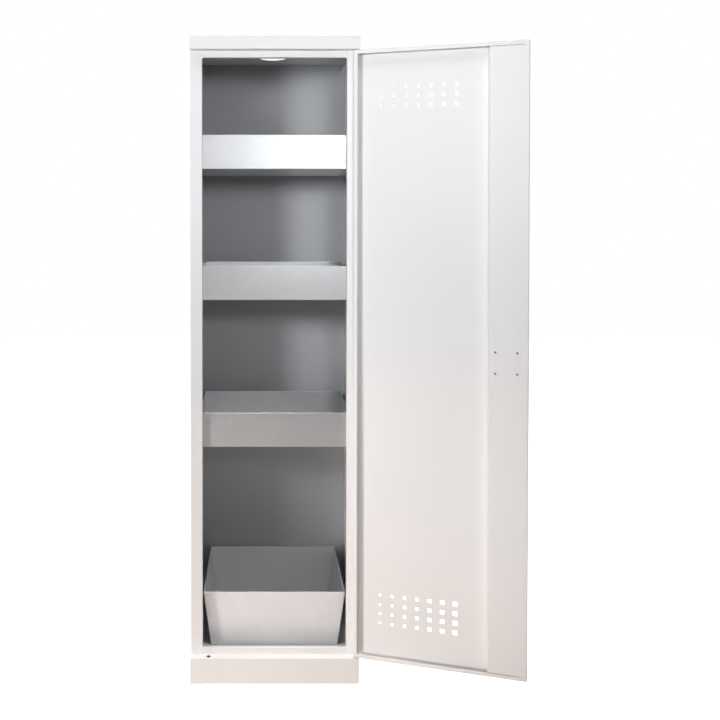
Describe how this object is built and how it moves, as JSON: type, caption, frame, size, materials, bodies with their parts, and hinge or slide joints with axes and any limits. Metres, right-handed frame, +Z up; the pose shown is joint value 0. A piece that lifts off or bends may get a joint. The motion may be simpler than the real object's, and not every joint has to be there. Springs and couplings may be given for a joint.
{
  "type": "ventilated chemical storage cabinet",
  "caption": "Tall narrow steel cabinet with one perforated pan door, deep galvanised tray shelves, a sloping-sided sump tray, a plinth and an exhaust hole in the lid.",
  "frame": {"origin": "on the floor, at the centre of the front foot flange of the plinth", "axes": "+Z up, +X to the hinge side, +Y from the front to the back; the door front faces -Y when closed"},
  "size_m": [0.981, 0.6534, 1.95],
  "materials": {
    "powder_grey": "light grey powder coat with a fine texture",
    "inner_grey": "light grey powder coat",
    "galvanised": "galvanised sheet",
    "zinc_steel": "bright zinc plate",
    "black_plastic": "black moulded plastic",
    "white_nylon": "natural nylon"
  },
  "bodies": {
    "cabinet": {"left_side_panel": "powder_grey", "right_side_panel": "powder_grey", "back_panel": "inner_grey", "floor_panel": "inner_grey", "top_cap": "powder_grey", "top_rail": "powder_grey", "bottom_rail": "powder_grey", "plinth_front": "powder_grey", "plinth_rear": "powder_grey", "plinth_left": "powder_grey", "plinth_right": "powder_grey", "slotted_strip_front_left": "inner_grey", "slotted_strip_front_right": "inner_grey", "slotted_strip_rear_left": "inner_grey", "slotted_strip_rear_right": "inner_grey", "tray_rail_upper_left": "zinc_steel", "tray_rail_upper_right": "zinc_steel", "tray_rail_middle_left": "zinc_steel", "tray_rail_middle_right": "zinc_steel", "tray_rail_lower_left": "zinc_steel", "tray_rail_lower_right": "zinc_steel", "top_pivot_bush": "white_nylon", "bottom_pivot_bush": "white_nylon"},
    "door": {"door_pan": "powder_grey", "lock_channel": "powder_grey", "lock_cover_plate": "powder_grey", "cover_screws": "zinc_steel", "lock_case": "zinc_steel", "handle_rosette": "black_plastic", "rod_guides": "black_plastic", "top_pivot_pin": "zinc_steel", "bottom_pivot_pin": "zinc_steel"},
    "handle": {"turn_handle": "black_plastic", "handle_spindle": "zinc_steel", "lock_cam": "zinc_steel"},
    "key": {"key_core": "zinc_steel"},
    "rod_up": {"upper_rod": "zinc_steel"},
    "rod_down": {"lower_rod": "zinc_steel"},
    "shelf_upper": {"tray_upper": "galvanised"},
    "shelf_middle": {"tray_middle": "galvanised"},
    "shelf_lower": {"tray_lower": "galvanised"},
    "sump": {"sump_tray": "galvanised"}
  },
  "joints": [
    {"name": "door_swing", "type": "hinge", "parent": "cabinet", "child": "door", "pos_m": [0.2465, -0.0015, 0.0785], "axis": [0, 0, 1], "range_deg": [-162, 18]},
    {"name": "handle_turn", "type": "hinge", "parent": "door", "child": "handle", "pos_m": [0.66354, -0.137, 0.989], "axis": [0.309, 0.9511, 0], "range_deg": [0, 90]},
    {"name": "key_turn", "type": "hinge", "parent": "handle", "child": "key", "pos_m": [0.66354, -0.137, 0.989], "axis": [0.309, 0.9511, 0], "range_deg": [0, 90]},
    {"name": "upper_rod_slide", "type": "slide", "parent": "door", "child": "rod_up", "axis": [0, 0, 1], "range_m": [0, 0.0213]},
    {"name": "lower_rod_slide", "type": "slide", "parent": "door", "child": "rod_down", "axis": [0, 0, -1], "range_m": [0, 0.0213]},
    {"name": "tray_upper_lift", "type": "slide", "parent": "cabinet", "child": "shelf_upper", "axis": [0, 0, 1], "range_m": [0, 0.03]},
    {"name": "tray_middle_lift", "type": "slide", "parent": "cabinet", "child": "shelf_middle", "axis": [0, 0, 1], "range_m": [0, 0.03]},
    {"name": "tray_lower_lift", "type": "slide", "parent": "cabinet", "child": "shelf_lower", "axis": [0, 0, 1], "range_m": [0, 0.03]},
    {"name": "sump_lift", "type": "slide", "parent": "cabinet", "child": "sump", "axis": [0, 0, 1], "range_m": [0, 0.03]}
  ],
  "couplings": [
    {"joint": "upper_rod_slide", "follows": "handle_turn", "m_per_rad": 0.013505},
    {"joint": "lower_rod_slide", "follows": "handle_turn", "m_per_rad": 0.013505}
  ]
}
